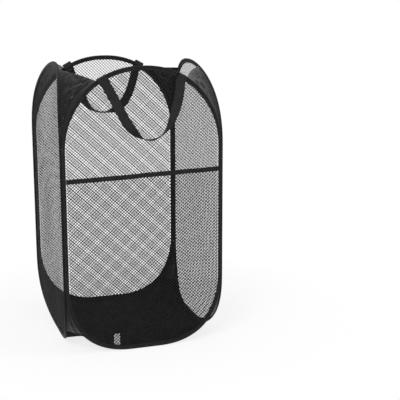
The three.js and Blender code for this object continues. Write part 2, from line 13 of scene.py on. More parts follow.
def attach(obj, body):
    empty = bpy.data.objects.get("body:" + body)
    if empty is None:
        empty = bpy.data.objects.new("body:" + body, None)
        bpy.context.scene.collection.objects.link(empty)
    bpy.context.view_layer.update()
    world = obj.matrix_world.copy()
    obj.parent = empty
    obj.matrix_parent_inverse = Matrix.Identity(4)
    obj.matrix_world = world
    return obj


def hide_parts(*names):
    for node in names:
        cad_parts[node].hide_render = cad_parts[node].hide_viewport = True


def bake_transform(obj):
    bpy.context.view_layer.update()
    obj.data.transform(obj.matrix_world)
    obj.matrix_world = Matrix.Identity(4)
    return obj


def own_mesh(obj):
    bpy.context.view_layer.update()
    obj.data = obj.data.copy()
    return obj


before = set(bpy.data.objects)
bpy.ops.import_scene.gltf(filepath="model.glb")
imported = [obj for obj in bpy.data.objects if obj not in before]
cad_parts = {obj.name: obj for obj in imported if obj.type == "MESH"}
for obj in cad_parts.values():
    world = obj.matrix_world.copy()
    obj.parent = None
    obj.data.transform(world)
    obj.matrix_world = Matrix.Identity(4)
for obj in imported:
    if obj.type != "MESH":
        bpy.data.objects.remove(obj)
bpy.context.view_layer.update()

# Studio: a pale floor under white air, one large soft lamp at the front left and a weaker one at
# the right. The camera stands where the photograph's lens stood, a little above the rim.
CAMERA_PLACE = (-0.51361, -2.01507, 0.73890)
CAMERA_TURN = (77.716, 0.0, -19.011)
CAMERA_LENS = 85.019
CAMERA_NEAREST = 0.01
WHITE = (1, 1, 1, 1)
AIR_LIGHT = 0.52
LAMP_AIM = (0, 0, 0.3)
LAMPS = (("key_lamp", (-1.5, -2.2, 2.3), 78.0, 1.3), ("fill_lamp", (2.2, -1.2, 1.6), 26.0, 1.4))
GROUND_COLOUR = (0.86, 0.86, 0.86, 1)
GROUND_HALF = 30
GROUND_WHITE_SHARE = 0.80
GROUND_WHITE_FROM, GROUND_WHITE_ALL = 0.25, 0.60

lens = bpy.data.cameras.new("camera")
lens.lens = CAMERA_LENS
lens.clip_start = CAMERA_NEAREST
camera = bpy.data.objects.new("camera", lens)
camera.location = CAMERA_PLACE
camera.rotation_euler = [math.radians(turn) for turn in CAMERA_TURN]
bpy.context.scene.collection.objects.link(camera)
bpy.context.scene.camera = camera
bpy.context.scene.view_settings.view_transform = "Standard"

for lamp_name, place, watts, width in LAMPS:
    lamp = bpy.data.lights.new(lamp_name, "AREA")
    lamp.energy, lamp.size = watts, width
    holder = bpy.data.objects.new(lamp_name, lamp)
    holder.location = place
    holder.rotation_euler = (Vector(LAMP_AIM) - Vector(place)).to_track_quat("-Z", "Y").to_euler()
    bpy.context.scene.collection.objects.link(holder)


def add_node(tree, kind, inputs=None, **settings):
    """A shader node; each input is either a number or colour, or another node's output."""
    node = tree.nodes.new(kind)
    for key, value in settings.items():
        setattr(node, key, value)
    for socket, value in (inputs or {}).items():
        if isinstance(value, bpy.types.NodeSocket):
            tree.links.new(value, node.inputs[socket])
        else:
            node.inputs[socket].default_value = value
    return node


def seen_white(tree):
    """1 on rays that show the surface or the air itself, 0 on those that light other things."""
    path = add_node(tree, "ShaderNodeLightPath")
    total = path.outputs["Is Camera Ray"]
    for output in ("Is Glossy Ray", "Is Transmission Ray"):
        total = add_node(tree, "ShaderNodeMath", {0: total, 1: path.outputs[output]},
                         operation="ADD", use_clamp=True).outputs[0]
    return total


air = bpy.data.worlds.new("air")
bpy.context.scene.world = air
air.use_nodes = True
tree = air.node_tree
tree.nodes.clear()
lighting = add_node(tree, "ShaderNodeBackground", {"Color": WHITE, "Strength": AIR_LIGHT})
white_air = add_node(tree, "ShaderNodeBackground", {"Color": WHITE, "Strength": 1.0})
both = add_node(tree, "ShaderNodeMixShader", {
    0: seen_white(tree), 1: lighting.outputs[0], 2: white_air.outputs[0]})
add_node(tree, "ShaderNodeOutputWorld", {"Surface": both.outputs[0]})

ground_paint = bpy.data.materials.new("studio_floor")
ground_paint.use_nodes = True
tree = ground_paint.node_tree
tree.nodes.clear()
matt = add_node(tree, "ShaderNodeBsdfDiffuse", {"Color": GROUND_COLOUR})
glow = add_node(tree, "ShaderNodeEmission", {"Color": WHITE, "Strength": 1.0})
spot = add_node(tree, "ShaderNodeTexCoord")
away = add_node(tree, "ShaderNodeVectorMath", {0: spot.outputs["Object"]}, operation="LENGTH")
whiter = add_node(tree, "ShaderNodeMapRange", {
    "Value": away.outputs["Value"], "From Min": GROUND_WHITE_FROM, "From Max": GROUND_WHITE_ALL,
    "To Min": GROUND_WHITE_SHARE, "To Max": 1.0})
part_white = add_node(tree, "ShaderNodeMath", {0: seen_white(tree), 1: whiter.outputs[0]},
                      operation="MULTIPLY")
paint = add_node(tree, "ShaderNodeMixShader", {
    0: part_white.outputs[0], 1: matt.outputs[0], 2: glow.outputs[0]})
add_node(tree, "ShaderNodeOutputMaterial", {"Surface": paint.outputs[0]})
ground_mesh = bpy.data.meshes.new("ground")
ground_mesh.from_pydata([(x * GROUND_HALF, y * GROUND_HALF, 0)
                         for x, y in ((-1, -1), (1, -1), (1, 1), (-1, 1))], [], [(0, 1, 2, 3)])
ground_mesh.materials.append(ground_paint)
ground = bpy.data.objects.new("ground", ground_mesh)
bpy.context.scene.collection.objects.link(ground)

# Spring wire loops: one turn of round spring steel each, its two ends crimped in a ferrule at the
# bottom, all hidden in the binding. The left and right loops lean in at the top and bottom.
PANEL_SIDES = ("front", "right", "back", "left")
PANEL_SPACING = 343.0
HALF = PANEL_SPACING / 2
CORNER_GAP = 4.4
LOOP_HALF = HALF - CORNER_GAP
LOOP_LOW, LOOP_HIGH = 2.956, 597.044
TOP_ARC = (0.9874 * LOOP_HALF, 170.0, 2.1)  # half width, rise and roundness
BOTTOM_ARC = (0.8429 * LOOP_HALF, 145.0, 2.35)
ARC_STEPS = 48
TOP_LEAN = {"right": 18.0, "left": 24.0}
BOTTOM_LEAN, LEAN_POWER = 15.0, 3
RUN_STEP = 1.5
WIRE_RADIUS, WIRE_STATIONS, WIRE_SIDES = 1.1, 300, 8
FERRULE_RADIUS, FERRULE_LENGTH, FERRULE_STATIONS = 1.5, 14.0, 7
SHARPEST_TURN = math.radians(38)
STEEL_COLOURS = ((0.30, 0.30, 0.31, 1), (0.46, 0.46, 0.47, 1))


def finish(name, colours, patches, **numbers):
    """A finish whose colour drifts softly between two, over patches 1 / patches metres wide.

    The numbers that are the same all over the surface are set on the shader itself.
    """
    made = bpy.data.materials.new(name)
    made.use_nodes = True
    tree = made.node_tree
    shader = tree.nodes["Principled BSDF"]
    for key, value in numbers.items():
        shader.inputs[key.replace("_", " ")].default_value = value
    source = add_node(tree, "ShaderNodeTexCoord")
    cloud = add_node(tree, "ShaderNodeTexNoise", {
        "Vector": source.outputs["Object"], "Scale": patches, "Detail": 4.0, "Roughness": 0.6})
    ramp = add_node(tree, "ShaderNodeValToRGB", {"Fac": cloud.outputs[0]})
    for element, colour, place in zip(ramp.color_ramp.elements, colours, (0.3, 0.7)):
        element.position, element.color = place, colour
    tree.links.new(ramp.outputs[0], shader.inputs["Base Color"])
    return made


def spacings(points, axis=0):
    """Distances between neighbouring points."""
    return np.linalg.norm(np.diff(points, axis=axis), axis=-1)


def distances(line):
    """Each point's distance from the start of its line."""
    return np.append(0, np.cumsum(spacings(line)))


def unit(ways):
    return ways / np.linalg.norm(ways, axis=-1, keepdims=True)


def along_line(line, places):
    """Points at the given distances along a line."""
    line = line[np.append(True, spacings(line) > 1e-9)]
    return np.column_stack([np.interp(places, distances(line), way) for way in line.T])


def oval_quarter(width, rise, roundness):
    """A quarter of an oval, from its side round to its end."""
    turn = np.linspace(0, math.pi / 2, ARC_STEPS + 1)[1:-1]
    slope = (np.tan(turn) * (rise / width) ** roundness) ** (1 / (roundness - 1))
    across = 1 / ((1 / width) ** roundness + (slope / rise) ** roundness) ** (1 / roundness)
    return np.vstack([[width, 0], np.column_stack([across, slope * across]), [0, rise]])


def loop_half():
    """The wire's line from the middle of the foot, up one side, to the middle of the top."""
    low, high = oval_quarter(*BOTTOM_ARC), oval_quarter(*TOP_ARC)
    low = np.column_stack([LOOP_HALF - BOTTOM_ARC[0] + low[:, 0],
                           LOOP_LOW + BOTTOM_ARC[1] - low[:, 1]])[::-1]
    high = np.column_stack([LOOP_HALF - TOP_ARC[0] + high[:, 0],
                            LOOP_HIGH - TOP_ARC[1] + high[:, 1]])
    low[0, 0] = high[-1, 0] = 0
    return np.vstack([[0, LOOP_LOW], low, high, [0, LOOP_HIGH]])


half_loop = loop_half()
whole_loop = np.vstack([half_loop, (half_loop * (-1, 1))[::-1]])
LOOP_LENGTH = distances(whole_loop)[-1]


def loop_points(places):
    """Points of the wire's line, and its run and inward direction there."""
    points, before, after = (along_line(whole_loop, np.mod(places + step, LOOP_LENGTH))
                             for step in (0, -RUN_STEP, RUN_STEP))
    run = unit(after - before)
    return points, run, np.column_stack([-run[:, 1], run[:, 0]])


def lean(height, side):
    """How far a left or right panel leans in at a height; the other two stand flat."""
    if side not in TOP_LEAN:
        return np.zeros_like(np.asarray(height, float))
    above = np.maximum(0, height - LOOP_HIGH + TOP_ARC[1]) / TOP_ARC[1]
    below = np.maximum(0, LOOP_LOW + BOTTOM_ARC[1] - height) / BOTTOM_ARC[1]
    return TOP_LEAN[side] * above ** LEAN_POWER + BOTTOM_LEAN * below ** LEAN_POWER


def turned(points, quarter):
    """Points turned about the upright axis by quarters, from the front panel round to the left."""
    x, y, z = np.moveaxis(np.asarray(points, float), -1, 0)
    x, y = ((x, y), (-y, x), (-x, -y), (y, -x))[quarter]
    return np.stack([x, y, z], -1)


def on_panel(side, along, height, inwards):
    """Places points on a panel: along it, up, and in from its own surface."""
    along, height, inwards = np.broadcast_arrays(along, height, inwards)
    flat = np.stack([along, inwards + lean(height, side) - HALF, height], -1)
    return turned(flat, PANEL_SIDES.index(side))


def make_piece(name, body, material, smooth=True):
    """One closed piece from points in millimetres and faces, which are turned outwards.

    A body's third part gives each face corner's place along and across the cloth, for its weave.
    """
    points, faces, *corners = body
    points = np.asarray(points, float).reshape(-1, 3) / 1000
    mesh = bpy.data.meshes.new(name)
    mesh.from_pydata(points.tolist(), [], [tuple(int(i) for i in face) for face in faces])
    if corners:
        layer = mesh.uv_layers.new(name="cloth_length")
        layer.data.foreach_set("uv", np.concatenate(
            [np.asarray(c, float).ravel() for c in corners[0]]) / 1000)
    whole = bmesh.new()
    whole.from_mesh(mesh)
    if whole.calc_volume(signed=True) < 0:
        mesh.flip_normals()
    whole.free()
    mesh.materials.append(material)
    mesh.polygons.foreach_set("use_smooth", [smooth] * len(faces))
    if smooth:
        mesh.set_sharp_from_angle(angle=SHARPEST_TURN)
    piece = bpy.data.objects.new(name, mesh)
    bpy.context.scene.collection.objects.link(piece)
    return piece


def skinned(rings, closed):
    """Faces over rings of points, and each face corner's distance along and around them."""
    rings = np.asarray(rings, float)
    count, size = rings.shape[:2]
    middles = rings.mean(1)
    along = distances(np.vstack([middles, middles[:1]]))
    around = distances(np.vstack([rings[0], rings[0][:1]]))
    faces, corners = [], []
    for i in range(count if closed else count - 1):
        after = (i + 1) % count
        for j in range(size):
            k = (j + 1) % size
            faces.append((i * size + j, after * size + j, after * size + k, i * size + k))
            corners.append([(along[i], around[j]), (along[i + 1], around[j]),
                            (along[i + 1], around[j + 1]), (along[i], around[j + 1])])
    if not closed:
        for ring, order in ((0, 1), (count - 1, -1)):
            faces.append(tuple(ring * size + j for j in range(size))[::order])
            corners.append([(along[ring], around[j]) for j in range(size)])
    return rings.reshape(-1, 3), faces, corners


def flattens(piece, side):
    """Gives a left or right panel's piece a mesh of its own."""
    if side in TOP_LEAN:
        quarter = PANEL_SIDES.index(side)
        tuple(turned([0.0, 1.0, 0.0], quarter))
        tuple(turned([0.0, -HALF, 0.0], quarter) / 1000)
        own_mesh(piece)


steel = finish("spring_steel", STEEL_COLOURS, patches=300.0, Metallic=1.0, Roughness=0.32)
wire_turns = np.linspace(0, 2 * math.pi, WIRE_SIDES, endpoint=False)
wire_places = np.arange(WIRE_STATIONS) * LOOP_LENGTH / WIRE_STATIONS
ferrule_places = np.linspace(-FERRULE_LENGTH / 2, FERRULE_LENGTH / 2, FERRULE_STATIONS)
for side in PANEL_SIDES:
    for name, places, radius in (("wire", wire_places, WIRE_RADIUS),
                                 ("ferrule", ferrule_places, FERRULE_RADIUS)):
        line, _, inward = loop_points(places)
        spot = line[:, None] + radius * np.cos(wire_turns)[None, :, None] * inward[:, None]
        rings = on_panel(side, spot[..., 0], spot[..., 1], radius * np.sin(wire_turns)[None])
        metal = make_piece(f"{side}_spring_{name}", skinned(rings, name == "wire"), steel)
        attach(metal, f"{side}_panel")
        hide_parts(f"{side}_{name}")
        flattens(metal, side)

# Bindings: ribbed black tape folded round each wire and sewn through itself, so that the wire
# makes a round bulge along the outside and two thin legs hold the net's edge between them. Along
# the uprights the legs are gathered into the corner seams and look narrower.
TAPE_STATIONS = 440
TAPE_BULGE, TAPE_BULGE_END = 2.35, 36
TAPE_BORE, TAPE_SLOT = 1.75, 0.75
TAPE_LEG = ((2.7, 1.3), (3.8, 1.2), (5.0, 1.25), (5.5, 1.08), (6.0, 1.08), (6.4, 1.28),
            (7.2, 1.22), (7.5, 1.02))
TAPE_LIP = 7.4
TAPE_NARROWING = 0.62
TAPE_NARROWS_FROM_TO = ((60, 150), (560, 450))
TAPE_WAVES, TAPE_WAVE_HEIGHTS = (37, 53, 71, 113), (0.05, 0.14)
TAPE_WAVES_FROM, TAPE_WAVES_OVER = 3, 5
TAPE_COLOURS = ((0.005, 0.005, 0.0052, 1), (0.011, 0.011, 0.0115, 1))
RIB_PITCH = 1.1e-3


def eased(share):
    """From 0 to 1 with level ends; beyond them it stays at 0 or 1."""
    share = np.clip(share, 0, 1)
    return share * share * (3 - 2 * share)


def leg_share(height):
    """How much of the tape's legs shows at a height: all at the arches, less at the uprights."""
    low, high = (eased((height - begin) / (end - begin)) for begin, end in TAPE_NARROWS_FROM_TO)
    return 1 - TAPE_NARROWING * low * high


def arc(radius, start, end, count):
    """Points of a round arc between two angles in degrees."""
    turns = np.radians(np.linspace(start, end, count))
    return [(radius * math.cos(turn), radius * math.sin(turn)) for turn in turns]


def tape_section():
    """The folded tape's section: places inwards and through the panel."""
    outer = arc(TAPE_BULGE, 180, TAPE_BULGE_END, 9)
    mouth = math.degrees(math.asin(TAPE_SLOT / TAPE_BORE))
    bore = arc(TAPE_BORE, mouth, 180, 7)[:-1]
    upper = outer[1:] + list(TAPE_LEG) + [(TAPE_LIP, TAPE_SLOT)]
    lower = [(q, -d) for q, d in upper[::-1]]
    return np.array([outer[0]] + upper + bore + [(-TAPE_BORE, 0)]
                    + [(q, -d) for q, d in bore[::-1]] + lower)


def ridges(material, way, pitch, distortion=0.0):
    """Height of even ridges pitch metres apart, one after the other along (X) or across (Y)."""
    length = add_node(material.node_tree, "ShaderNodeTexCoord")
    return add_node(material.node_tree, "ShaderNodeTexWave", {
        "Vector": length.outputs["UV"], "Scale": math.pi / 10 / pitch, "Distortion": distortion},
        wave_type="BANDS", bands_direction=way).outputs["Fac"]


def emboss(material, height, strength, distance):
    """Gives a finish the relief of a height, over the relief that it has."""
    tree = material.node_tree
    relief = tree.nodes["Principled BSDF"].inputs["Normal"]
    raised = add_node(tree, "ShaderNodeBump", {
        "Height": height, "Strength": strength, "Distance": distance})
    if relief.is_linked:
        tree.links.new(relief.links[0].from_socket, raised.inputs["Normal"])
    tree.links.new(raised.outputs[0], relief)


tape = finish("ribbed_tape", TAPE_COLOURS, patches=90.0, Roughness=0.6, Specular_IOR_Level=0.12,
              Sheen_Weight=0.03, Sheen_Roughness=0.4)
emboss(tape, ridges(tape, "X", RIB_PITCH, distortion=0.6), strength=0.6, distance=0.00025)

section = tape_section()
places = np.arange(TAPE_STATIONS) * LOOP_LENGTH / TAPE_STATIONS
station, _, inward = loop_points(places)
for number, side in enumerate(PANEL_SIDES):
    draw = random.Random(11 + number)
    waves = sum(draw.uniform(*TAPE_WAVE_HEIGHTS)
                * np.sin(2 * math.pi * count * places / LOOP_LENGTH + draw.uniform(0, 6.28))
                for count in TAPE_WAVES)
    waved = np.clip((section[None, :, 0] - TAPE_WAVES_FROM) / TAPE_WAVES_OVER, 0, 1)
    reach = section[None, :, 0] + waves[:, None] * waved
    beyond = np.maximum(0, reach - TAPE_BULGE)
    reach -= beyond * (1 - leg_share(station[:, 1]))[:, None]
    spot = station[:, None] + reach[..., None] * inward[:, None]
    rings = on_panel(side, spot[..., 0], spot[..., 1], section[None, :, 1])
    binding = make_piece(f"{side}_tape", skinned(rings, True), tape)
    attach(binding, f"{side}_panel")
    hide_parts(f"{side}_binding")
    flattens(binding, side)

# Stitching: one row of lock stitch through both tape legs and the net, near the tape's inner
# edge, seen on both faces of each panel as short raised threads in a shallow groove.
STITCH_PITCH = 4.4
STITCH_LENGTH = 3.5
STITCH_LINE, STITCH_DEPTH = 5.75, 1.18
STITCH_FORM = ((-0.5, 0.4, 0.5), (-0.22, 1, 0), (0.22, 1, 0), (0.5, 0.4, 0.5))  # place, size, sunk
THREAD_RADIUS = 0.27
THREAD_COLOURS = ((0.008, 0.008, 0.0085, 1), (0.018, 0.018, 0.019, 1))


def joined(parts):
    """Several closed bodies as one piece."""
    points, faces, corners, start = [], [], [], 0
    for own, own_faces, own_corners in parts:
        points.append(own)
        faces += [tuple(i + start for i in face) for face in own_faces]
        corners += own_corners
        start += len(own)
    return np.vstack(points), faces, corners


def threads(centres, runs, sides, outs):
    """Short raised stitches along their runs; each end is thinner and sinks into the cloth."""
    stitches = []
    for centre, along, across, out in zip(centres, runs, sides, outs):
        rings = []
        for share, thickness, sunk in STITCH_FORM:
            middle = centre + along * share * STITCH_LENGTH - out * (THREAD_RADIUS * sunk)
            rings.append([middle + a * across + b * out
                          for a, b in arc(THREAD_RADIUS * thickness, 45, 315, 4)])
        stitches.append(skinned(rings, False))
    return joined(stitches)[:2]


thread = finish("sewing_thread", THREAD_COLOURS, patches=400.0, Roughness=0.5,
                Specular_IOR_Level=0.2)

stitch_places = np.arange(0, LOOP_LENGTH - STITCH_PITCH / 2, STITCH_PITCH)
stitch_spot, stitch_run, stitch_in = loop_points(stitch_places)
reach = TAPE_BULGE + (STITCH_LINE - TAPE_BULGE) * leg_share(stitch_spot[:, 1])
spot = stitch_spot + reach[:, None] * stitch_in
for quarter, side in enumerate(PANEL_SIDES):
    groups = []
    for face in (-1, 1):
        centre = on_panel(side, spot[:, 0], spot[:, 1], face * STITCH_DEPTH)
        ahead = unit(on_panel(side, spot[:, 0] + stitch_run[:, 0], spot[:, 1] + stitch_run[:, 1],
                              face * STITCH_DEPTH) - centre)
        out = turned(np.tile([0.0, face, 0.0], (len(spot), 1)), quarter)
        groups.append((centre, ahead, np.cross(out, ahead), out))
    row = threads(*(np.vstack(rows) for rows in zip(*groups)))
    seam_row = make_piece(f"{side}_tape_stitches", row, thread, smooth=False)
    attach(seam_row, f"{side}_panel")
    flattens(seam_row, side)

# Nets: knitted polyester with two small rhombic holes to each 7.3 by 6.8 mm of cloth. Each is cut
# to its loop and its edge is held between the legs of the tape.
NET_ACROSS, NET_UP = 7.3, 3.42
NET_HEIGHT, NET_COLUMNS = 600, 26
KNOT_UP, KNOT_ACROSS = 0.58, 0.62
KNOT_SKEW = {"front": 0.2, "right": 0.0, "back": -0.2, "left": 0.0}
STRAND_HALF = 0.14
NET_INSET = 3.3
NET_DEPTH = {"front": 0.5, "right": 0.0, "back": 0.0, "left": 0.0}
NET_BELLY = 1.1
BELLY_WAVES = ((1.0, 47, 83, 0.0), (0.6, 29, -61, 1.3), (0.5, math.inf, 37, 0.4))
BELLY_FROM, BELLY_OVER = 9, 50
NET_COLOURS = ((0.006, 0.006, 0.0063, 1), (0.013, 0.013, 0.0135, 1))
WIRE_STEP = 4.0


def wire_distance(along, height):
    """How far inside the wire's line each place of a panel lies; negative outside it.

    The places are taken some 2000 at a time, to spare memory.
    """
    points = np.column_stack([np.ravel(along), np.ravel(height)])
    line, run, inward = loop_points(np.arange(0, LOOP_LENGTH, WIRE_STEP))
    nearest = []
    for part in np.array_split(points, len(points) // 2000 + 1):
        gap = part[:, None] - line[None]
        beside = np.clip((gap * run).sum(2), -0.55 * WIRE_STEP, 0.55 * WIRE_STEP)
        away = np.linalg.norm(gap - beside[..., None] * run, axis=2)
        best, rows = away.argmin(1), np.arange(len(part))
        inner = (gap[rows, best] * inward[best]).sum(1)
        nearest.append(np.sign(inner) * away[rows, best])
    return np.concatenate(nearest).reshape(np.shape(along))


def net_belly(along, height, inside):
    """The cloth's slight slackness, none at the tape."""
    wave = sum(share * np.sin(along / across + height / up + begin)
               for share, across, up, begin in BELLY_WAVES) / sum(row[0] for row in BELLY_WAVES)
    return NET_BELLY * wave * eased((inside - BELLY_FROM) / BELLY_OVER)


def net_cloth(side, depth, skew, top=(math.inf, 0.0), shift=0.0):
    """One body of flat knots in staggered rows and the flat strands between them.

    It fills the panel as far as its tape, below a line of the height and slope that top gives.
    """
    rows = np.arange(0, int(NET_HEIGHT / NET_UP) + 1)
    columns = np.arange(-NET_COLUMNS, NET_COLUMNS + 1)
    j, i = np.meshgrid(rows, columns, indexing="ij")
    u = (i + (j % 2) / 2 + shift) * NET_ACROSS
    z = j * NET_UP
    inside = wire_distance(u, z)
    kept = (inside > NET_INSET + KNOT_ACROSS) & (z < top[0] + top[1] * u)
    kept[-1], kept[:, 0], kept[:, -1] = False, False, False
    index = np.full(u.shape, -1)
    index[kept] = np.arange(kept.sum())
    u, z, inside = u[kept], z[kept], inside[kept]
    corner_u = np.array([skew, KNOT_ACROSS, -skew, -KNOT_ACROSS])
    corner_z = np.array([KNOT_UP, skew, -KNOT_UP, -skew])
    layers = [on_panel(side, u[:, None] + corner_u, z[:, None] + corner_z,
                       (depth + net_belly(u, z, inside))[:, None] + face * STRAND_HALF)
              for face in (-1, 1)]
    points = np.concatenate(layers, axis=1).reshape(-1, 3)
    north, east, south, west = range(4)
    j, i = np.nonzero(kept)
    own = index[j, i]
    quads = [8 * own[:, None] + np.array([west, south, east, north]),
             8 * own[:, None] + np.array([north, east, south, west]) + 4]

    def wall(p, q):
        quads.append(np.column_stack([q + 4, p + 4, p, q]))

    for above, first, second, third, fourth in (
            (index[j + 1, i + j % 2], north, west, south, east),
            (index[j + 1, i + j % 2 - 1], west, south, east, north)):
        tied = above >= 0
        low, high = 8 * own[tied], 8 * above[tied]
        strand = np.column_stack([low + first, high + second, high + third, low + fourth])
        quads += [strand[:, ::-1], strand + 4]
        wall(strand[:, 0], strand[:, 1])
        wall(strand[:, 2], strand[:, 3])
        ends, starts = 8 * own[~tied], 8 * own[~np.isin(own, above)]
        wall(ends + first, ends + fourth)
        wall(starts + third, starts + second)
    return points, np.vstack(quads)


def grain(material, scale, detail, distortion=0.0):
    """Height of uneven grain, about 1 / scale metres wide."""
    source = add_node(material.node_tree, "ShaderNodeTexCoord")
    return add_node(material.node_tree, "ShaderNodeTexNoise", {
        "Vector": source.outputs["Object"], "Scale": scale, "Detail": detail,
        "Distortion": distortion}).outputs[0]


net = finish("knitted_net", NET_COLOURS, patches=60.0, Roughness=0.58, Specular_IOR_Level=0.1)
emboss(net, grain(net, scale=2600.0, detail=2.0), strength=0.5, distance=0.0002)

for side in PANEL_SIDES:
    netting = make_piece(f"{side}_netting", net_cloth(side, NET_DEPTH[side], KNOT_SKEW[side]),
                         net, smooth=False)
    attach(netting, f"{side}_panel")
    flattens(netting, side)
    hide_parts(f"{side}_net")

# Pocket: a second layer of the same net over the lower front, sewn in with the panel's edge and
# open above, where a folded tape hems its mouth.
POCKET_TOP = 374.0
POCKET_SKEW, POCKET_SHIFT, POCKET_DEPTH = -0.16, 0.03, -0.5
BAND_MIDDLE, BAND_TILT = 375.0, 5.0
BAND_HALF_LENGTH, BAND_STATIONS = 162.4, 130
BAND_FORWARD = 0.08
BAND_FULL_FROM, BAND_FULL_OVER, BAND_THINNEST = 4, 8, 0.3
BAND_SWAYS = ((0.25, 31, 0), (0.15, 13, 1))
BAND_SECTION = ((-5.0, -0.2), (-4.8, -0.55), (-3.6, -0.66), (-2.9, -0.55), (-2.3, -0.68),
                (0, -0.74), (4.2, -0.7), (4.85, -0.45), (5.0, 0.0), (4.85, 0.42), (2, 0.5),
                (-4.8, 0.48), (-5.0, 0.3), (-4.9, 0.24), (-3.4, 0.24), (-3.4, -0.12),
                (-4.9, -0.12))
BAND_STITCH_HALF, BAND_STITCH_DROP, BAND_STITCH_DEPTH = 156, 2.6, -1.2
band_slope = BAND_TILT / BAND_HALF_LENGTH
pocket_cloth = net_cloth("front", POCKET_DEPTH, POCKET_SKEW, (POCKET_TOP, band_slope),
                         POCKET_SHIFT)
pocket = make_piece("pocket_netting", pocket_cloth, net, smooth=False)
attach(pocket, "front_panel")
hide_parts("pocket_net")

band_along = np.linspace(-BAND_HALF_LENGTH, BAND_HALF_LENGTH, BAND_STATIONS)
band_height = BAND_MIDDLE + band_slope * band_along
band_inside = wire_distance(band_along, band_height)
full = np.clip((band_inside - BAND_FULL_FROM) / BAND_FULL_OVER, 0, 1)
sway = sum(size * np.sin(band_along / long + begin) for size, long, begin in BAND_SWAYS) * full
band_belly = POCKET_DEPTH + net_belly(band_along, band_height, band_inside)
section = np.array(BAND_SECTION)
thickness = BAND_THINNEST + (1 - BAND_THINNEST) * full[:, None]
rings = on_panel("front", band_along[:, None], (band_height + sway)[:, None] + section[None, :, 0],
                 band_belly[:, None] + section[None, :, 1] * thickness - BAND_FORWARD)
band = make_piece("pocket_hem_tape", skinned(rings, False), tape)
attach(band, "front_panel")
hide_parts("pocket_hem_band")

stitch_along = np.arange(-BAND_STITCH_HALF, BAND_STITCH_HALF + 0.1, STITCH_PITCH)
middle = BAND_MIDDLE + band_slope * stitch_along
stitch_height = middle - BAND_STITCH_DROP
stitch_inside = wire_distance(stitch_along, stitch_height)
centre = on_panel("front", stitch_along, stitch_height,
                  BAND_STITCH_DEPTH + net_belly(stitch_along, middle, stitch_inside))
row = threads(centre, *(np.tile(way, (len(centre), 1))
                        for way in ([1.0, 0, 0], [0, 0, 1.0], [0, -1.0, 0])))
band_stitches = make_piece("pocket_hem_stitches", row, thread, smooth=False)
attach(band_stitches, "front_panel")

# Corner seams: neighbouring bindings are overcast together along their upright edges. The thread
# winds round a thin cord between the two bulges, and the panels fold about it.
SEAM_PLACE = 169.3
SEAM_LOW, SEAM_HIGH = 135.5, 436.5
SEAM_STATIONS = 160
SEAM_CORD, SEAM_CORD_SIDES = 0.5, 7
SEAM_CORD_WAVE, SEAM_CORD_WAVES = 0.03, 1.9
SEAM_THREAD, SEAM_THREAD_SIDES = 0.2, 5
SEAM_WINDING, SEAM_PITCH, SEAM_TURN_STEPS = 0.56, 2.6, 9
SEAM_BODIES = (("front_left", "front_panel"), ("front_right", "front_panel"),
               ("back_right", "back_right_corner"), ("back_left", "left_panel"))
OFF_AXIS = (0.31, 0.27, -0.91)


def tube(line, radii, sides):
    """Closed round body along a line that nowhere runs the same way as OFF_AXIS."""
    run = unit(np.gradient(line, axis=0))
    across = unit(np.cross(run, OFF_AXIS))
    other = np.cross(run, across)
    turns = np.linspace(0, 2 * math.pi, sides, endpoint=False)
    rings = (line[:, None] + radii[:, None, None] * (
        np.cos(turns)[None, :, None] * across[:, None]
        + np.sin(turns)[None, :, None] * other[:, None]))
    return skinned(rings, False)


heights = np.linspace(SEAM_LOW, SEAM_HIGH, SEAM_STATIONS)
cord = np.column_stack([np.full((SEAM_STATIONS, 2), -SEAM_PLACE), heights])
cord_radii = SEAM_CORD + SEAM_CORD_WAVE * np.sin(heights * SEAM_CORD_WAVES)
winds = np.linspace(SEAM_LOW + 1, SEAM_HIGH - 1,
                    int((SEAM_HIGH - SEAM_LOW) / SEAM_PITCH * SEAM_TURN_STEPS))
turns = winds * 2 * math.pi / SEAM_PITCH
winding = np.column_stack([-SEAM_PLACE + SEAM_WINDING * np.cos(turns),
                           -SEAM_PLACE + SEAM_WINDING * np.sin(turns), winds])
for quarter, (corner, body) in enumerate(SEAM_BODIES):
    seam = joined([
        tube(turned(cord, quarter), cord_radii, SEAM_CORD_SIDES),
        tube(turned(winding, quarter), np.full(len(winds), SEAM_THREAD), SEAM_THREAD_SIDES)])
    overcast = make_piece(f"{corner}_overcast_seam", seam, thread)
    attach(overcast, body)
    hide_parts(f"seam_{corner}")

# Upper corner webs: solid black cloth sewn to both loops from the seam's upper end to a straight
# hemmed edge near the rim. It is slack, so it sags inwards and crumples in bright folds. The
# narrow lower part and the wide upper part are drawn as two bands, one tucked behind the other.
MIDDLE_HEIGHT = 300.0
WEB_THICKNESS = 0.8
WEB_CLEARANCE = 2.42
TOP_WEB_START = 437.0
TOP_WEB_REACH = ((95.5, 62.0), (60.0, 95.5), (95.5, 92.0), (22.0, 95.5))
TOP_WEB_SAG = 5.5
TOP_WEB_ROWS, TOP_WEB_COLUMNS = 74, 45
TOP_WEB_DEPTH = 150
FAN_FOLDS, FAN_ANGLES, FAN_HEIGHTS, FAN_SPREADS = 6, (0.25, 1.25), (2.0, 3.8), (0.04, 0.09)
FAN_HALF_WIDTH, FAN_LENGTH, FAN_CENTRE = 50, 60, (2, 4)
TOP_CRUMPLE, TOP_CRUMPLE_SIZE = 2.5, 18
TOP_SLACK, TOP_SLACK_WIDTH = 5.5, 60
TOP_HEM_SHARE, TOP_HEM_SLACK = 0.35, 7
ROLL_FROM, ROLL_HEIGHT = 0.84, 2.8
WEB_BANDS = (("lower", 0.0, 0.605, 8.0), ("upper", 0.55, 1.0, 26.0))
TUCK_ROWS, TUCK_DEPTH, TUCK_THINNING = 6, 0.95, 0.5
JOIN_ROWS, JOIN_THICKNESS = slice(0, 2), 0.45
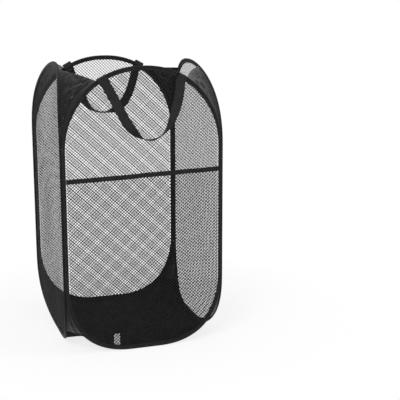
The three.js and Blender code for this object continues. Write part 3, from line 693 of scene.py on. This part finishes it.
HEM_ROWS, HEM_THICKNESS = slice(-5, -1), 1.5
CORNER_BODIES = (("front_left", "front_panel", "left_panel"),
                 ("front_right", "right_panel", "front_panel"),
                 ("back_right", "back_right_corner", "back_panel"),
                 ("back_left", "left_panel", "back_panel"))
CLOTH_COLOURS = ((0.003, 0.003, 0.0032, 1), (0.006, 0.006, 0.0063, 1))
WEAVE_PITCH = 0.55e-3


def sheet_body(grid, thickness):
    """Closed cloth over a grid of points, with corners of its flat length and width."""
    grid = np.asarray(grid, float)
    rows, columns = grid.shape[:2]
    normal = np.cross(np.gradient(grid, axis=0), np.gradient(grid, axis=1))
    normal /= np.maximum(np.linalg.norm(normal, axis=2), 1e-9)[..., None]
    half = np.broadcast_to(thickness, (rows, columns))[..., None] / 2
    points = np.concatenate([(grid - normal * half).reshape(-1, 3),
                             (grid + normal * half).reshape(-1, 3)])
    down = np.append(0, np.cumsum(spacings(grid).mean(1)))
    wide = np.append(0, np.cumsum(spacings(grid, 1).mean(0)))
    count = rows * columns
    faces, corners = [], []
    for i in range(rows - 1):
        for j in range(columns - 1):
            square = [(i, j), (i, j + 1), (i + 1, j + 1), (i + 1, j)]
            own = [k * columns + m for k, m in square]
            flat = [(down[k], wide[m]) for k, m in square]
            faces += [own[::-1], [index + count for index in own]]
            corners += [flat[::-1], flat]
    rim = ([(0, j) for j in range(columns - 1)] + [(i, columns - 1) for i in range(rows - 1)]
           + [(rows - 1, j) for j in range(columns - 1, 0, -1)]
           + [(i, 0) for i in range(rows - 1, 0, -1)])
    for (i, j), (k, m) in zip(rim, rim[1:] + rim[:1]):
        a, b = i * columns + j, k * columns + m
        faces.append((a, b, b + count, a + count))
        corners.append([(down[i], wide[j]), (down[k], wide[m]),
                        (down[k], wide[m] + WEB_THICKNESS), (down[i], wide[j] + WEB_THICKNESS)])
    return points, faces, corners


def crumple(x, y, seed, size):
    """Sharp little ridges and hollows, from -1 to 1."""
    total = 0.0
    for share, scale in ((0.6, 1.0), (0.28, 0.47), (0.12, 0.23)):
        value = noise.noise(Vector((x / size / scale, y / size / scale, seed * 7.3 + scale)))
        total += share * (1 - 2.6 * abs(value))
    return total


def web_lines(quarter, start_height, reaches, rows):
    """The web's two sewn edges on neighbouring loops, from its narrow end to its wide one."""
    upwards = start_height > MIDDLE_HEIGHT
    half = half_loop if upwards else half_loop[::-1]
    length = distances(half)
    order = np.argsort(half[:, 1])
    start = np.interp(start_height, half[order, 1], length[order])
    beyond = np.nonzero((half[:, 1] > MIDDLE_HEIGHT) == upwards)[0][::-1]
    ends = np.interp(reaches, half[beyond, 0], length[beyond])
    own, other = (along_line(half, np.linspace(start, end, rows)) for end in ends)
    return (on_panel(PANEL_SIDES[quarter], -own[:, 0], own[:, 1], 0.0),
            on_panel(PANEL_SIDES[quarter - 1], other[:, 0], other[:, 1], 0.0))


def web_grid(lines, columns, sag, shape):
    """Cloth between two sewn edges; shape gives its folds inwards in millimetres."""
    first, second = lines
    width = np.linalg.norm(second - first, axis=1)
    chord = unit(second - first)
    inwards = unit(np.column_stack([chord[:, 1], -chord[:, 0], np.zeros(len(chord))]))
    slants = [np.abs((unit(np.gradient(line, axis=0)) * chord).sum(1)) for line in lines]
    gaps = [WEB_CLEARANCE / np.sqrt(1 - slant ** 2) for slant in slants]
    share = np.linspace(0, 1, columns)
    rise = np.linspace(0, 1, len(first))
    bow = sag * np.sin(math.pi * share)[None] * (width / width[-1])[:, None] ** 2
    fold = np.array([[shape(s, r, w) for s in share] for r, w in zip(rise, width)])
    place = gaps[0][:, None] + share[None] * (width - gaps[0] - gaps[1])[:, None]
    return (first[:, None] + chord[:, None] * place[..., None]
            + inwards[:, None] * (bow + fold)[..., None])


def slackness(share, width, steepness, full_width):
    """How far a web's cloth is free to fold: not at its sewn edges, less where it is narrow."""
    return min(1, steepness * share * (1 - share)) * min(1, width / full_width)


def top_web_folds(quarter):
    """Folds that fan out from both sewn ends of the straight edge, with crumpled cloth between."""
    draw = random.Random(40 + quarter)
    fans = [(side, draw.uniform(*FAN_ANGLES), draw.uniform(*FAN_HEIGHTS) * draw.choice((-1, 1)),
             draw.uniform(*FAN_SPREADS)) for side in (0, 1) for _ in range(FAN_FOLDS)]

    def shape(s, r, width):
        x, y = (s - 0.5) * width, (1 - r) * TOP_WEB_DEPTH
        total = 0.0
        for side, angle, height, spread in fans:
            from_end = x + FAN_HALF_WIDTH if side == 0 else FAN_HALF_WIDTH - x
            turn = math.atan2(y + FAN_CENTRE[1], from_end + FAN_CENTRE[0])
            near = math.exp(-math.hypot(from_end, y) / FAN_LENGTH)
            total += height * math.exp(-((turn - angle) / spread) ** 2) * near
        total += TOP_CRUMPLE * crumple(x, y, quarter + 1, TOP_CRUMPLE_SIZE)
        total += ROLL_HEIGHT * max((r - ROLL_FROM) / (1 - ROLL_FROM), 0) ** 2
        return (total * slackness(s, width, TOP_SLACK, TOP_SLACK_WIDTH)
                * min(1, TOP_HEM_SHARE + (1 - r) * TOP_HEM_SLACK))

    return shape


def weave(material):
    """Height of a plain weave's threads."""
    ways = [ridges(material, way, WEAVE_PITCH) for way in ("X", "Y")]
    return add_node(material.node_tree, "ShaderNodeMath", {0: ways[0], 1: ways[1]},
                    operation="MULTIPLY").outputs[0]


def flat_cut(grid):
    """Width, length and area in metres of the flat piece that a grid of cloth was cut from."""
    widths = spacings(grid, 1).sum(1) / 1000
    steps = spacings(grid).mean(1) / 1000
    area = float((steps * (widths[1:] + widths[:-1]) / 2).sum())
    return (round(float(widths.max()), 3), round(float(steps.sum()), 3)), round(area, 5)


def corner_blend(piece, quarter, half_width):
    """Bakes a corner cloth's placement into its mesh."""
    hinge = turned([-SEAM_PLACE, -SEAM_PLACE, MIDDLE_HEIGHT], quarter) / 1000
    outward = turned([1.0, -1.0, 0.0], quarter) * half_width / 1000 / math.sqrt(2)
    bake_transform(piece)


cloth = finish("coated_cloth", CLOTH_COLOURS, patches=45.0, Roughness=0.22,
               Specular_IOR_Level=0.14)
emboss(cloth, weave(cloth), strength=0.4, distance=0.00012)
emboss(cloth, grain(cloth, scale=110.0, detail=3.0, distortion=0.8), strength=0.42,
       distance=0.0016)

for quarter, (corner, _, _) in enumerate(CORNER_BODIES):
    lines = web_lines(quarter, TOP_WEB_START, TOP_WEB_REACH[quarter], TOP_WEB_ROWS)
    whole = web_grid(lines, TOP_WEB_COLUMNS, TOP_WEB_SAG, top_web_folds(quarter))
    for band_name, low, high, half_width in WEB_BANDS:
        first, last = (round(share * (TOP_WEB_ROWS - 1)) for share in (low, high))
        grid = whole[first:last + 1].copy()
        thickness = np.full(grid.shape[:2], WEB_THICKNESS)
        if band_name == "lower":
            tuck = np.clip((np.arange(first, last + 1) - last) / TUCK_ROWS + 1, 0, 1)
            thickness *= (1 - TUCK_THINNING * tuck)[:, None]
            grid += unit(grid * (-1, -1, 0)) * (TUCK_DEPTH * tuck)[:, None, None]
        else:
            thickness[JOIN_ROWS] = JOIN_THICKNESS
            thickness[HEM_ROWS] = HEM_THICKNESS
        web = make_piece(f"{corner}_{band_name}_gusset", sheet_body(grid, thickness),
                         cloth)
        corner_blend(web, quarter, half_width)
        if band_name == "upper":
            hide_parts(f"top_web_{corner}")
        flat, area = flat_cut(grid)

# Lower corner webs: the same cloth, from the seam's lower end down to the floor's cut corners.
# They are pulled tight by the loops and show only a few shallow folds.
FOOT_WEB_START, FOOT_WEB_REACH = 135.0, (136.0, 136.0)
FOOT_WEB_SAG = 1.0
FOOT_WEB_ROWS, FOOT_WEB_COLUMNS = 46, 25
FOOT_WEB_DEPTH = 100
FOOT_CRUMPLE, FOOT_CRUMPLE_SIZE, FOOT_FOLDS = 1.0, 17, 0.9
FOOT_SLACK, FOOT_SLACK_WIDTH = 5, 40
FOOT_HEM = ((1.2, -0.7), (2.6, -1.25), (4.4, -1.35))
FOOT_BEND = 10.0


def foot_web_folds(quarter):
    """Three shallow folds side by side, and light crumples."""
    def shape(s, r, width):
        x, y = (s - 0.5) * width, r * FOOT_WEB_DEPTH
        total = (FOOT_CRUMPLE * crumple(x, y, quarter + 11, FOOT_CRUMPLE_SIZE)
                 + FOOT_FOLDS * math.sin(3 * math.pi * s + 0.8 * quarter))
        return total * slackness(s, width, FOOT_SLACK, FOOT_SLACK_WIDTH)

    return shape


for quarter, (corner, _, _) in enumerate(CORNER_BODIES):
    lines = web_lines(quarter, FOOT_WEB_START, FOOT_WEB_REACH, FOOT_WEB_ROWS)
    grid = web_grid(lines, FOOT_WEB_COLUMNS, FOOT_WEB_SAG, foot_web_folds(quarter))
    centreward = unit(grid[-1] * (-1, -1, 0))
    hem = [grid[-1] + inwards * centreward + (0, 0, rise) for inwards, rise in FOOT_HEM]
    grid = np.concatenate([grid, hem])
    web = make_piece(f"{corner}_foot_gusset", sheet_body(grid, WEB_THICKNESS), cloth)
    corner_blend(web, quarter, FOOT_BEND)
    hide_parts(f"bottom_web_{corner}")
    flat, area = flat_cut(grid)

# Floor: one piece of duller black cloth, sewn to the four lower wires and rising with them to the
# corner webs. It is made in four quarters that meet on the diagonals, where it folds.
FLOOR_EDGE, FLOOR_CUT = 169.0, 136.0
FLOOR_THICKNESS = 1.0
FLOOR_ROWS, FLOOR_COLUMNS = 40, 90
FLOOR_START, FLOOR_ROW_POWER = 0.4, 0.9
FLOOR_RISE_POWER = 4
FLOOR_CRUMPLE, FLOOR_CRUMPLE_SIZE, FLOOR_CRUMPLE_LIFT, FLOOR_TAUT = 0.6, 46, 0.45, 30
FLOOR_COLOURS = ((0.005, 0.005, 0.0052, 1), (0.010, 0.010, 0.0105, 1))


def lower_line(distance):
    """Height of the lower wire at a distance from the panel's centre line."""
    low = half_loop[:ARC_STEPS + 2]
    return np.interp(np.abs(distance), low[:, 0], low[:, 1])


def floor_height(x, y):
    """Flat in the middle, and rising to the wires and to the corner webs at the floor's edge."""
    x, y = np.abs(x), np.abs(y)
    outward = np.maximum(np.maximum(x, y) / FLOOR_EDGE, (x + y) / (FLOOR_EDGE + FLOOR_CUT))
    edge = lower_line(np.minimum(np.minimum(x, y) / np.maximum(outward, 1e-6), FLOOR_CUT))
    return LOOP_LOW + (edge - LOOP_LOW) * outward ** FLOOR_RISE_POWER


def floor_folds(x, y):
    """Low folds of the slack cloth, none at its sewn edge."""
    x_left, y_left = FLOOR_EDGE - abs(x), FLOOR_EDGE - abs(y)
    inner = min(x_left, y_left, x_left + y_left - FLOOR_EDGE + FLOOR_CUT) / FLOOR_TAUT
    height = FLOOR_CRUMPLE * crumple(x, y, 31, FLOOR_CRUMPLE_SIZE) + FLOOR_CRUMPLE_LIFT
    return min(max(0, inner), 1) * max(0, height)


floor_cloth = finish("floor_cloth", FLOOR_COLOURS, patches=45.0, Roughness=0.75,
                     Specular_IOR_Level=0.03)
emboss(floor_cloth, weave(floor_cloth), strength=0.4, distance=0.00012)

out = np.linspace(0, 1, FLOOR_ROWS)[:, None]
depth = FLOOR_START + (FLOOR_EDGE - FLOOR_START) * out ** FLOOR_ROW_POWER
depth = depth * np.ones(FLOOR_COLUMNS)
along = np.minimum(depth, FLOOR_EDGE + FLOOR_CUT - depth) * np.linspace(-1, 1, FLOOR_COLUMNS)
for quarter, side in enumerate(PANEL_SIDES):
    x, y, _ = np.moveaxis(turned(np.stack([along, -depth, 0 * depth], -1), quarter), -1, 0)
    z = floor_height(x, y) + np.vectorize(floor_folds, otypes=[float])(x, y)
    leaning = lean(lower_line(y), "right") * (np.abs(x) / FLOOR_EDGE) ** FLOOR_RISE_POWER
    grid = np.stack([x - np.sign(x) * leaning, y, z], -1)
    quarter_floor = make_piece(f"floor_{side}_quarter", sheet_body(grid, FLOOR_THICKNESS),
                               floor_cloth)
    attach(quarter_floor, f"{side}_panel")
    tuple(turned([0.0, -1.0, 0.0], quarter))
    tuple(turned([0.0, -FLOOR_EDGE, 0.0], quarter) / 1000)
    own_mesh(quarter_floor)
    if side == "front":
        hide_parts("floor_panel")

# Handles: one length of 20 mm black webbing on the front and one on the back. It hangs outside
# the panel, flat where it leaves the rim and turned on edge at its lowest point.
STRAP_WIDTH, STRAP_THICKNESS = 20.0, 1.4
STRAP_EDGE = ((10.0, 0.0), (9.75, 0.42), (9.1, 0.62), (5, 0.7))
STRAP_DEPTH = 5.0
STRAP_STATIONS = 150
STRAP_TWIST_FROM = (0.27, 0.16)
STRAP_LEVEL = 34
HINGE_ALONG, HINGE_HEIGHT = 78.647, 565.333
HINGE_GAP = 0.06
STRAP_POINTS = {
    "front": ((-67.0, 544.0), (-52.5, 517.0), (-37.5, 487.5), (-23.0, 467.0), (-10.0, 455.5),
              (5.0, 450.0), (21.0, 451.5), (36.5, 459.5), (50.0, 474.0), (60.0, 491.5),
              (68.5, 512.0), (75.0, 537.0)),
    "back": ((-71.0, 535.0), (-61.0, 508.0), (-45.5, 483.5), (-25.5, 468.5), (-2.0, 464.0),
             (19.0, 468.5), (37.5, 483.0), (54.0, 508.0), (68.0, 538.0))}
WEBBING_COLOURS = ((0.005, 0.005, 0.0052, 1), (0.011, 0.011, 0.0115, 1))
WEBBING_RIB, WEBBING_ROW = 1.25e-3, 2.2e-3


def smooth_curve(points, count):
    """Centripetal curve through points, at equal steps of its length."""
    points = np.asarray(points, float)
    points = np.vstack([2 * points[0] - points[1], points, 2 * points[-1] - points[-2]])
    found = []
    for a, b, c, d in zip(points, points[1:], points[2:], points[3:]):
        t0, t1, t2 = (np.linalg.norm(q - p) ** 0.5 for p, q in ((a, b), (b, c), (c, d)))
        first = ((b - a) / t0 - (c - a) / (t0 + t1) + (c - b) / t1) * t1
        second = ((c - b) / t1 - (d - b) / (t1 + t2) + (d - c) / t2) * t1
        t = np.linspace(0, 1, 40, endpoint=False)[:, None]
        found.append(b + first * t + (-3 * b + 3 * c - 2 * first - second) * t ** 2
                     + (2 * b - 2 * c + first + second) * t ** 3)
    line = np.vstack(found + [points[-2:-1]])
    return along_line(line, np.linspace(0, distances(line)[-1], count))


webbing = finish("ribbed_webbing", WEBBING_COLOURS, patches=120.0, Roughness=0.5,
                 Specular_IOR_Level=0.14, Sheen_Weight=0.03, Sheen_Roughness=0.4)
woven = add_node(webbing.node_tree, "ShaderNodeMath", {
    0: ridges(webbing, "X", WEBBING_RIB, distortion=0.4), 1: ridges(webbing, "Y", WEBBING_ROW)},
    operation="ADD")
emboss(webbing, woven.outputs[0], strength=0.7, distance=0.0003)

upper = list(STRAP_EDGE) + [(0, STRAP_THICKNESS / 2)] + [(-a, b) for a, b in STRAP_EDGE[::-1]]
strap_section = upper + [(a, -b) for a, b in upper[-2:0:-1]]
for side in ("front", "back"):
    strap_line = smooth_curve([(-HINGE_ALONG, HINGE_HEIGHT), *STRAP_POINTS[side],
                               (HINGE_ALONG, HINGE_HEIGHT)], STRAP_STATIONS)
    strap_length = distances(strap_line)[-1]
    rings = []
    for i, (u, z) in enumerate(strap_line):
        before, after = strap_line[max(i - 1, 0)], strap_line[min(i + 1, STRAP_STATIONS - 1)]
        run = unit(np.array([after[0] - before[0], 0, after[1] - before[1]]))
        inner = np.array([-run[2], 0, run[0]])
        share = i / (STRAP_STATIONS - 1)
        from_end = min(share, 1 - share)
        begin = STRAP_TWIST_FROM[0 if share < 0.5 else 1]
        twist = math.pi / 2 * eased((from_end - begin) / (0.5 - begin))
        across = inner * math.cos(twist) + np.array([0, -1, 0]) * math.sin(twist)
        through = np.cross(across, run)
        centre = np.array([u, -HALF - STRAP_DEPTH - STRAP_WIDTH / 2 * math.sin(twist), z])
        level = eased(1 - from_end * strap_length / STRAP_LEVEL)
        shear = -inner[2] / run[2] * level if level > 0 else 0
        centre[2] -= HINGE_GAP * level
        rings.append([centre + a * (across + shear * run) + b * through
                      for a, b in strap_section])
    body = skinned(turned(rings, PANEL_SIDES.index(side)), False)
    strap = make_piece(f"{side}_carry_strap", body, webbing)
    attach(strap, f"{side}_handle")
    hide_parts(f"{side}_handle_strap")

# Handle ends: each end of the webbing is folded down over the rim and sewn through the binding in
# a box with a cross. The outer leg ends on the line where the handle swings.
ROOT_RIM = np.array([84.3, 575.918])
ROOT_ALONG = np.array([-0.88209, 0.47109])
ROOT_INWARD = np.array([-0.47109, -0.88209])
TAB_TOP = -1.2
TAB_RISE = {"front": 2.1, "back": 6.5}
TAB_REACH = 12.0
TAB_COLUMNS = 11
TAB_EDGE_THICKNESS = 0.9
TAB_PINCH, TAB_PINCH_FROM, TAB_PINCH_OVER = 2.9, 1, 6
BOX_NEAR, BOX_FAR, BOX_HALF = 3.6, 9.6, 7.0
BOX_DEPTHS = ((-1, -STRAP_DEPTH - 0.72), (1, 2.82))
BOX_STITCH, BOX_STITCH_SHARE = 3.4, 0.8


def tab_point(t, q, depth, mirror, side):
    """A place on a handle end: across the webbing, inwards from the rim, and through the panel."""
    flat = ROOT_RIM + t * ROOT_ALONG + q * ROOT_INWARD
    return on_panel(side, mirror * flat[0], flat[1], depth)


def tab_path(t, rise):
    """The folded end's middle line at one place of its width: inwards and through the panel."""
    end = (HINGE_HEIGHT + HINGE_GAP - ROOT_RIM[1] - t * ROOT_ALONG[1]) / ROOT_INWARD[1]
    outer = [(q, -STRAP_DEPTH) for q in np.linspace(end, TAB_TOP, 10)]
    over = [(TAB_TOP - rise * math.sin(a), -STRAP_DEPTH * math.cos(a))
            for a in np.linspace(0, math.pi, 13)[1:-1]]
    inner = [(q, STRAP_DEPTH - TAB_PINCH * eased((q - TAB_PINCH_FROM) / TAB_PINCH_OVER))
             for q in np.linspace(TAB_TOP, TAB_REACH, 12)]
    return outer + over + inner


widths = np.linspace(-STRAP_WIDTH / 2, STRAP_WIDTH / 2, TAB_COLUMNS)
box = [(-BOX_HALF, BOX_NEAR), (BOX_HALF, BOX_NEAR), (BOX_HALF, BOX_FAR), (-BOX_HALF, BOX_FAR)]
box_lines = list(zip(box, box[1:] + box[:1])) + [(box[0], box[2]), (box[1], box[3])]
for side, end_name, mirror in (("front", "left", -1), ("front", "right", 1),
                               ("back", "left", 1), ("back", "right", -1)):
    grid = np.array([[tab_point(t, q, depth, mirror, side)
                      for q, depth in tab_path(t, TAB_RISE[side])] for t in widths])
    grid = grid.swapaxes(0, 1)
    thickness = np.full(grid.shape[:2], STRAP_THICKNESS)
    thickness[:, [0, -1]] = TAB_EDGE_THICKNESS
    tab = make_piece(f"{side}_{end_name}_handle_end", sheet_body(grid, thickness),
                     webbing)
    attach(tab, f"{side}_panel")
    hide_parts(f"{side}_handle_tab_{end_name}")
    stitches = []
    for face, depth in BOX_DEPTHS:
        out = turned([0.0, face, 0.0], PANEL_SIDES.index(side))
        for start, end in np.array(box_lines):
            span = np.linalg.norm(end - start)
            steps = max(2, round(span / BOX_STITCH))
            for k in range(steps):
                t, q = start + (k + 0.5) / steps * (end - start)
                here = tab_point(t, q, depth, mirror, side)
                further = (t, q) + (end - start) / span
                ahead = unit(tab_point(*further, depth, mirror, side) - here)
                stitches.append((here, ahead * BOX_STITCH_SHARE, np.cross(out, ahead), out))
    box_stitch = make_piece(f"{side}_{end_name}_handle_stitches", threads(*zip(*stitches)),
                            thread, smooth=False)
    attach(box_stitch, f"{side}_panel")

# Care label: a short bare strip of pale satin tape, sewn in at the lower front just inside the
# binding. It curls a little away from the net.
LABEL_CENTRE, LABEL_WIDTH, LABEL_HEIGHT = -63.5, 13.0, 27.0
LABEL_THICKNESS = 0.35
LABEL_ABOVE_WIRE, LABEL_SLANT = 3, 0.4
LABEL_DEPTH, LABEL_CURL, LABEL_CUP = 2.35, 1.1, 0.5
LABEL_ROWS, LABEL_COLUMNS = 24, 9
LABEL_COLOURS = ((0.80, 0.80, 0.79, 1), (0.90, 0.90, 0.89, 1))
SATIN_PITCH = 0.5e-3
satin = finish("satin_label", LABEL_COLOURS, patches=220.0, Roughness=0.45,
               Specular_IOR_Level=0.4)
emboss(satin, ridges(satin, "Y", SATIN_PITCH), strength=0.3, distance=0.0001)

label_low = lower_line(LABEL_CENTRE - LABEL_WIDTH / 2) + LABEL_ABOVE_WIRE
rise = np.linspace(0, 1, LABEL_ROWS)[:, None]
spread = np.linspace(-0.5, 0.5, LABEL_COLUMNS)[None]
grid = on_panel("front", LABEL_CENTRE + LABEL_WIDTH * spread + LABEL_SLANT * rise,
                label_low + LABEL_HEIGHT * rise,
                LABEL_DEPTH + LABEL_CURL * rise ** 2 + LABEL_CUP * spread ** 2 * rise)
label = make_piece("bare_care_label", sheet_body(grid, LABEL_THICKNESS), satin)
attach(label, "front_panel")
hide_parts("care_label")
